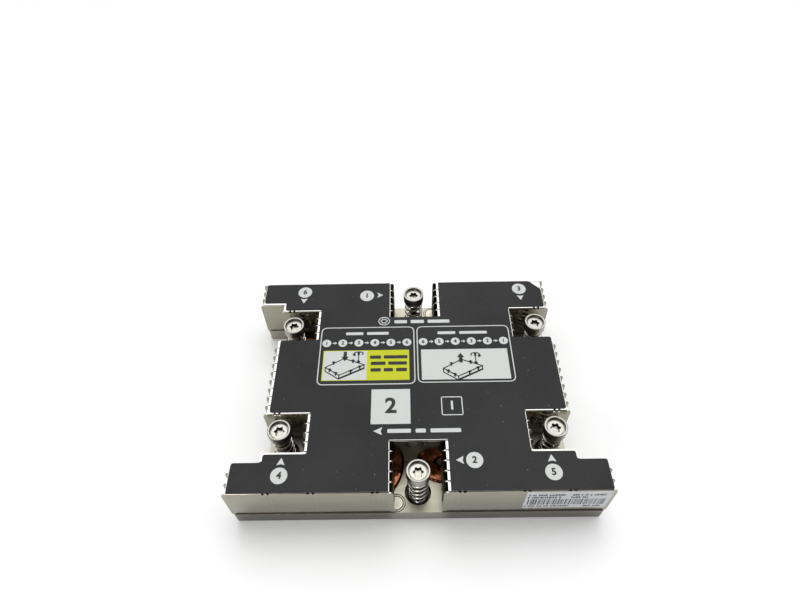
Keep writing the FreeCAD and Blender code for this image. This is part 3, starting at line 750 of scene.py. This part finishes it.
# How far the film's cut edge lies off the plain outline, at each place.
OVER_NOTCH_FOLD = 0.6
OVER_FRONT_FOLD = 0.3
OVER_LEFT_ENDS, OVER_RIGHT_ENDS = 0.75, 0.4
BEFORE_FRONT_WELLS = 0.75
BEHIND_WELLS = 0.35
FRONT_EDGE = -49
SMALL_ROUND, WIDE_ROUND = 0.35, 1.0

label_low, label_high = box("top_label")
label_corners = top_outline("top_label", label_high.z)
for corner in label_corners:
    # At the back of the front notch the film reaches over the fold.
    if abs(corner.x) < 12 and -40 < corner.y < 0:
        corner.y -= OVER_NOTCH_FOLD
    # Along the front it reaches onto the fold, and it stops short of the front corner wells.
    if corner.y < FRONT_EDGE:
        corner.y -= OVER_FRONT_FOLD
    if 40 < abs(corner.x) < 66 and -36 < corner.y < -31:
        corner.y -= BEFORE_FRONT_WELLS
    # It covers more of the flanges behind the corner wells.
    if abs(corner.x) > 40 and (-18 < corner.y < -17 or 35 < corner.y < 36):
        corner.y -= BEHIND_WELLS
    # At the ends of the long rows it reaches almost to the ends of the flanges.
    if corner.x < -64:
        corner.x -= OVER_LEFT_ENDS
    if corner.x > 64:
        corner.x += OVER_RIGHT_ENDS


def film_round(corner):
    """How far from a corner of the film its round starts."""
    return WIDE_ROUND if abs(corner.x) > 20 and corner.y > FRONT_EDGE else SMALL_ROUND


made = bmesh.new()
prism(made, eased(label_corners, film_round), label_low.z, label_high.z)
thing = piece("top_label_film", made, label_film, "heatsink")
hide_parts("top_label")

# ---------------------------------------------------------------- label print
# Ink printed on the film: numbered discs and arrows beside the screws, two framed panels with the
# order of the screws, and plain bars for the words.

# Each layer of ink lies on the one before: on the film, on a panel's field, on its picture field.
LAYER = 0.012
ON_FILM, ON_FIELD, ON_PICTURE = range(3)


def ink(name, red, green, blue):
    """An ink of that colour on a screen, a little worn."""
    finish = Finish(name, roughness=0.5, specular_ior_level=0.25)
    worn = finish.start.noise(1200, 3, 0.6)
    darker = colour(red * 0.95, green * 0.95, blue * 0.95)
    finish.paint(base_color=worn.tint(darker, colour(red, green, blue)),
                 roughness=0.45 + worn * 0.12)
    return finish


def spot(made, outline, layer):
    """A printed area."""
    prism(made, outline, label_high.z + LAYER * layer, label_high.z + LAYER * (layer + 1))


def oval(x, y, radius_x, radius_y, sides):
    """Points round an oval."""
    turns = [2 * math.pi * step / sides for step in range(sides)]
    return [(x + radius_x * math.cos(turn), y + radius_y * math.sin(turn)) for turn in turns]


def rectangle(left, right, low, high, corner=0.0):
    """A rectangle's outline, with rounded corners if they are given a size."""
    corners = [Vector((left, low, 0)), Vector((right, low, 0)),
               Vector((right, high, 0)), Vector((left, high, 0))]
    return eased(corners, corner) if corner else corners


def round_spot(made, x, y, radius, layer):
    spot(made, oval(x, y, radius, radius, 48), layer)


def bar(made, left, right, low, high, layer, corner=0.0):
    spot(made, rectangle(left, right, low, high, corner), layer)


def stroke(made, points, width, layer, closed=False):
    """A printed line of even width through points, with mitred corners."""
    points = [Vector((p[0], p[1], 0)) for p in points]
    count = len(points)
    low, high = label_high.z + LAYER * layer, label_high.z + LAYER * (layer + 1)
    rings = []
    for index, point in enumerate(points):
        before = points[index - 1] if closed or index else None
        after = points[(index + 1) % count] if closed or index < count - 1 else None
        into = ((point - before) if before is not None else (after - point)).normalized()
        out_of = (after - point).normalized() if after is not None else into
        normal = Vector((-into.y - out_of.y, into.x + out_of.x, 0)).normalized()
        reach = width / 2 / max(0.4, normal.dot(Vector((-into.y, into.x, 0))))
        left, right = point + normal * reach, point - normal * reach
        rings.append([Vector((left.x, left.y, low)), Vector((left.x, left.y, high)),
                      Vector((right.x, right.y, high)), Vector((right.x, right.y, low))])
    if closed:
        rings.append(rings[0])
    skin(made, rings, capped=not closed)


def digit(made, text, x, y, size, layer, weight=0.035):
    """A printed numeral, centred on a point."""
    letters = bpy.data.curves.new("numeral", "FONT")
    letters.body = text
    letters.size = size
    letters.align_x, letters.align_y = "CENTER", "CENTER"
    letters.offset = weight * size
    letters.extrude = LAYER / 2
    letters.resolution_u = 6
    holder = bpy.data.objects.new("numeral", letters)
    shape = holder.to_mesh()
    shape.transform(Matrix.Translation((x, y, label_high.z + LAYER * (layer + 0.5))))
    made.from_mesh(shape)
    holder.to_mesh_clear()
    bpy.data.objects.remove(holder)
    bpy.data.curves.remove(letters)


def arrow_head(made, apex_x, apex_y, way_x, way_y, length, half, layer, notch=0.0):
    """A printed arrowhead: apex, direction, length and half width, with a notch in its back."""
    back_x, back_y = apex_x - way_x * length, apex_y - way_y * length
    outline = [(apex_x, apex_y), (back_x - way_y * half, back_y + way_x * half)]
    if notch:
        outline.append((back_x + way_x * notch, back_y + way_y * notch))
    outline.append((back_x + way_y * half, back_y - way_x * half))
    spot(made, outline, layer)


white, dark, yellow = bmesh.new(), bmesh.new(), bmesh.new()

DISC_RADIUS, SMALL_DISC_RADIUS = 3.2, 1.95
NUMERAL, SMALL_NUMERAL = 3.7, 2.5
DISC_PITCH = 7.0
PANEL_TOP, PANEL_ROUND, PANEL_LINE = 24.45, 2.5, 0.45

# A numbered disc and an arrow for each screw: disc centre, arrow apex and its direction.
for text, disc, apex, way in (("1", (-21.65, 43.1), (-14.06, 43.4), (1, 0)),
                              ("2", (21.25, -38.8), (14.26, -38.7), (-1, 0)),
                              ("3", (49.44, 46.0), (49.5, 39.08), (0, -1)),
                              ("4", (-51.6, -44.0), (-51.5, -36.95), (0, 1)),
                              ("5", (49.94, -43.85), (50.05, -36.87), (0, 1)),
                              ("6", (-50.8, 45.8), (-50.9, 39.06), (0, -1))):
    round_spot(white, *disc, DISC_RADIUS, ON_FILM)
    digit(dark, text, *disc, NUMERAL, ON_FIELD)
    arrow_head(white, *apex, *way, 2.9, 1.6, ON_FILM, 0.7 if text == "1" else 0.35)

# Two framed panels. The discs of each run in the order of fitting or of removal.
for left, right, low, first_x, discs_y, order in (
        (-41.0, -0.3, -5.05, -38.4, 16.05, "123456"), (1.1, 41.4, -4.5, 3.66, 16.2, "654321")):
    stroke(white, rectangle(left, right, low, PANEL_TOP, PANEL_ROUND), PANEL_LINE, ON_FILM,
           closed=True)
    for place, text in enumerate(order):
        x = first_x + DISC_PITCH * place
        round_spot(white, x, discs_y, SMALL_DISC_RADIUS, ON_FILM)
        digit(dark, text, x, discs_y, SMALL_NUMERAL, ON_FIELD)
        if place < len(order) - 1:
            bar(white, x + 2.5, x + 3.5, discs_y - 0.22, discs_y + 0.22, ON_FILM)
            arrow_head(white, x + 4.55, discs_y, 1, 0, 1.1, 0.75, ON_FILM)

# Bars for the words: x from and to, and y from and to.
for left, right, low, high in (
        (-8.9, -3.2, 26.2, 28.7), (-1.6, 4.4, 26.2, 28.7), (6.0, 15.8, 26.2, 28.7),
        (-30.3, -22.6, 20.0, 22.2), (-21.0, -11.4, 20.0, 22.2),
        (10.1, 18.0, 19.8, 22.0), (19.7, 31.9, 19.8, 22.0),
        (-11.6, -2.4, -27.6, -25.2), (-0.6, 3.4, -27.6, -25.2), (5.2, 17.1, -27.6, -25.2)):
    bar(white, left, right, low + 0.35, high - 0.35, ON_FILM, 0.5)
arrow_head(white, -17.1, -26.42, -1, 0, 3.5, 1.7, ON_FILM, 0.6)

# A screw-drive mark with six lobes in a circle.
mark_x, mark_y = -13.5, 27.94
stroke(white, oval(mark_x, mark_y, 2.4, 2.2, 40), 0.4, ON_FILM, closed=True)
star = []
for step in range(60):
    turn = math.pi * step / 30
    lobe = 0.3 * math.cos(6 * turn)
    star.append((mark_x + (1.2 + lobe) * math.cos(turn), mark_y + (1.15 + lobe) * math.sin(turn)))
stroke(white, star, 0.34, ON_FILM, closed=True)

# The left panel's yellow field holds a white picture field and three rows of words, and the right
# panel's field is white.
bar(yellow, -39.4, -2.55, -3.2, 12.05, ON_FILM)
bar(white, -39.0, -20.6, -2.85, 11.7, ON_FIELD)
for left, right, y in (
        (-19.3, -14.6, 8.4), (-13.4, -3.3, 8.4), (-18.9, -12.6, 5.2), (-11.5, -3.6, 5.2),
        (-18.9, -14.6, 1.9), (-13.4, -9.4, 1.9), (-8.2, -3.6, 1.9)):
    bar(dark, left, right, y - 0.85, y + 0.85, ON_FIELD, 0.4)
bar(white, 2.6, 39.6, -3.28, 12.0, ON_FILM)


def picture(x, y, lift):
    """A drawing of the part as a slab, with an arrow down or up and a turn arrow at a screw."""
    def at(*points):
        return [(x + a, y + b) for a, b in points]

    def line(width, *points, closed=False):
        stroke(dark, at(*points), width, ON_PICTURE, closed)

    def fill(*points):
        spot(dark, at(*points), ON_PICTURE)

    def head(apex_x, apex_y, way_x, way_y, length, half):
        arrow_head(dark, x + apex_x, y + apex_y, way_x, way_y, length, half, ON_PICTURE)

    left, back, right, front = (-8.2, -0.4), (-0.4, 4.0), (8.2, 0.7), (-2.2, -4.4)
    under_left, under_front, under_right = ((a, b - 1.9) for a, b in (left, front, right))
    line(0.5, left, back, right, front, closed=True)
    line(0.5, left, under_left, under_front, under_right, right)
    line(0.5, front, under_front)
    # The base shows as a dark band below the fins.
    fill(under_front, under_right, (under_right[0], under_right[1] + 0.6),
         (under_front[0], under_front[1] + 0.7))
    # The screws stand in notches of the slab's edges.
    for a, b in ((-6.3, -1.5), (-3.6, -3.3), (-4.8, 2.1), (2.6, -2.3), (3.4, 2.9), (6.4, -0.2)):
        fill((a - 1.0, b + 0.1), (a, b - 0.5), (a + 1.0, b + 0.1), (a, b + 0.7))
        line(0.7, (a, b), (a, b - 1.3))
    # The arrow over the slab points up for removal and down for fitting.
    middle, apex, way, low, high = (-0.6, 7.4, 1, 2.4, 5.2) if lift else (-0.1, 2.6, -1, 4.8, 7.6)
    shaft = 0.75
    head(middle, apex, 0, way, 2.3, 1.6)
    bar(dark, x + middle - shaft, x + middle + shaft, y + low, y + high, ON_PICTURE)
    # A hand tool stands on one screw, with the turn arrow round it.
    tool = 5.7
    turn = []
    for step in range(-50, 225, 15):
        angle = math.radians(step)
        turn.append((tool + 1.9 * math.cos(angle), 6.5 + 0.85 * math.sin(angle)))
    line(0.5, *turn)
    side, tip = (1, turn[0]) if lift else (-1, turn[-1])
    head(tip[0] + side * 1.5, tip[1] - 0.1, side, 0, 1.6, 0.9)
    line(1.0, (tool, 7.6), (tool, 5.6))
    line(0.45, (tool, 5.6), (tool, 2.4))
    round_spot(dark, x + tool, y + 2.2, 0.75, ON_PICTURE)


picture(-29.9, 3.9, False)
picture(20.0, 2.6, True)

# A white square and an outlined one show which of the two places the part is turned for.
bar(white, -18.2, -2.45, -23.4, -7.6, ON_FILM)
digit(dark, "2", -10.3, -15.5, 9.5, ON_FIELD, 0.03)
stroke(white, rectangle(10.15, 18.35, -19.7, -11.6, 0.6), 0.42, ON_FILM, closed=True)
digit(white, "1", 14.25, -15.6, 5.4, ON_FILM, 0.03)

piece("label_print_white", white, ink("white ink", 217, 220, 217), "heatsink")
piece("label_print_dark", dark, ink("dark ink", 44, 44, 46), "heatsink")
piece("label_print_yellow", yellow, ink("yellow ink", 205, 212, 14), "heatsink")

# ---------------------------------------------------------------- front sticker
# A white paper sticker on the first fin. Its print is rows of dashes and a block of bars that say
# nothing.

sticker_film = Finish("white sticker", roughness=0.45, specular_ior_level=0.3)
paper = sticker_film.start.noise(900, 3)
sticker_film.paint(base_color=paper.tint(colour(208, 210, 212), colour(222, 224, 226)),
                   roughness=0.4 + paper * 0.15)
sticker_film.relief(paper, 0.00001)

STICKER_ROUND = 0.6
INK_DEPTH = 0.015

sticker_low, sticker_high = box("front_sticker")
outline = rectangle(sticker_low.x, sticker_high.x, sticker_low.z, sticker_high.z, STICKER_ROUND)
made = bmesh.new()
skin(made, [[Vector((p.x, y, p.y)) for p in outline] for y in (sticker_low.y, sticker_high.y)])
thing = piece("front_sticker_paper", made, sticker_film, "heatsink")
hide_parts("front_sticker")

dice = random.Random(11)
made = bmesh.new()


def mark(left, right, low, high):
    """One printed mark on the sticker."""
    skin(made, [[Vector((p.x, y, p.y)) for p in rectangle(left, right, low, high)]
                for y in (sticker_low.y - INK_DEPTH, sticker_low.y)])


# Rows of dashes: x from and to, and z from and to.
for left, right, low, high in (
        (40.4, 53.9, 21.9, 23.4), (56.4, 68.6, 21.9, 23.4), (40.2, 53.0, 19.7, 21.2),
        (56.2, 62.4, 19.7, 21.2), (40.0, 56.6, 11.6, 12.8), (62.2, 69.4, 11.6, 12.8)):
    x = left
    while x < right:
        width = dice.uniform(0.35, 0.8)
        tall = dice.choice((1.0, 1.0, 0.75))
        mark(x, min(x + width, right), low, low + (high - low) * tall)
        x += width + dice.choice((0.22, 0.22, 0.3, 0.9))

# The block of bars.
BARS_LEFT, BARS_RIGHT = 40.6, 69.6
BARS_LOW, BARS_HIGH = 13.6, 18.9
x = BARS_LEFT
while x < BARS_RIGHT:
    width = dice.choice((0.18, 0.18, 0.3, 0.45))
    mark(x, x + width, BARS_LOW, BARS_HIGH)
    x += width + dice.choice((0.2, 0.3, 0.3, 0.6))
piece("front_sticker_print", made, ink("sticker ink", 50, 50, 60), "heatsink")

# ---------------------------------------------------------------- studio
# A white floor under a soft light from above and behind. The room is darker on the camera's side,
# so the metal shows the part's own depths.

FLOOR_REACH = 40
FLOOR_HEIGHT = -0.0002


def grey(level):
    return (level, level, level, 1)


# The floor glows a little where it is seen or mirrored, and doesn't light the part.
floor_finish = Finish("studio floor", roughness=0.9, base_color=grey(0.9), specular_ior_level=0.0,
                      emission_strength=1.0)
start = floor_finish.start
rays = start.node("LightPath", {}, {}, output="Is Camera Ray")
for other in ("Is Glossy Ray", "Is Transmission Ray"):
    rays = rays.maths("MAXIMUM", rays, start.node("LightPath", {}, {}, output=other))
floor_finish.paint(emission_color=rays.tint(grey(0), grey(0.2)))
mesh = bpy.data.meshes.new("floor")
mesh.from_pydata([(x * FLOOR_REACH, y * FLOOR_REACH, FLOOR_HEIGHT)
                  for x, y in ((-1, -1), (1, -1), (1, 1), (-1, 1))], [], [(0, 1, 2, 3)])
mesh.materials.append(floor_finish.material)
floor = bpy.data.objects.new("floor", mesh)
bpy.context.scene.collection.objects.link(floor)

world = bpy.data.worlds.new("studio")
bpy.context.scene.world = world
world.use_nodes = True
room = Channel(world.node_tree)
toward = room.node("TexCoord", {}, {}, output="Generated")
behind = toward.along("Y")
above = toward.along("Z")
# The walls are pale down low. Higher up the room brightens from the front to the back, and a wide
# soft window hangs high behind, in the direction (0, 0.42, 0.9075).
ceiling = behind.smooth(-0.35, 0.7).tint(grey(0.12), grey(0.8))
walls = above.smooth(0.12, 0.34).tint(grey(0.95), ceiling)
window = (behind * 0.42 + above * 0.9075).smooth(0.84, 0.97)
sky = world.node_tree.nodes["Background"]
world.node_tree.links.new(window.tint(walls, grey(3.2)).socket, sky.inputs["Color"])
sky.inputs["Strength"].default_value = 1.0


def softbox(name, place, target, size, power):
    """A lamp in metres and watts that faces its target."""
    lamp = bpy.data.lights.new(name, "AREA")
    lamp.shape = "RECTANGLE"
    lamp.size, lamp.size_y = size
    lamp.energy = power
    thing = bpy.data.objects.new(name, lamp)
    thing.location = place
    thing.rotation_euler = (Vector(target) - Vector(place)).to_track_quat("-Z", "Y").to_euler()
    bpy.context.scene.collection.objects.link(thing)


softbox("side strip", (0.6, 0.1, 0.7), (0, 0, 0), (0.25, 0.5), 0.9)
softbox("front fill", (-0.35, -0.75, 0.5), (0, 0, 0), (0.16, 0.16), 1.3)

# The camera stands in front of the long side with the sticker and looks down at the stack. Its
# place is in millimetres.
CAMERA_PLACE = Vector((-3.47, -132.09, 229.96))
PITCH, YAW, ROLL = math.radians(49.718), math.radians(-0.941), math.radians(-1.633)
SENSOR_WIDTH, FOCAL_LENGTH = 36, 25.875

ahead = Vector((math.sin(YAW) * math.cos(PITCH), math.cos(YAW) * math.cos(PITCH), -math.sin(PITCH)))
level = Vector((math.cos(YAW), -math.sin(YAW), 0))
upward = level.cross(ahead)
right = level * math.cos(ROLL) + upward * math.sin(ROLL)
up = upward * math.cos(ROLL) - level * math.sin(ROLL)
camera_data = bpy.data.cameras.new("camera")
camera_data.sensor_width = SENSOR_WIDTH
camera_data.lens = FOCAL_LENGTH
camera_data.clip_start = 0.01
camera = bpy.data.objects.new("camera", camera_data)
turned_to_part = Matrix((right, up, -ahead)).transposed().to_4x4()
camera.matrix_world = Matrix.Translation(CAMERA_PLACE * 0.001) @ turned_to_part
bpy.context.scene.collection.objects.link(camera)
bpy.context.scene.camera = camera
bpy.context.scene.view_settings.view_transform = "Standard"
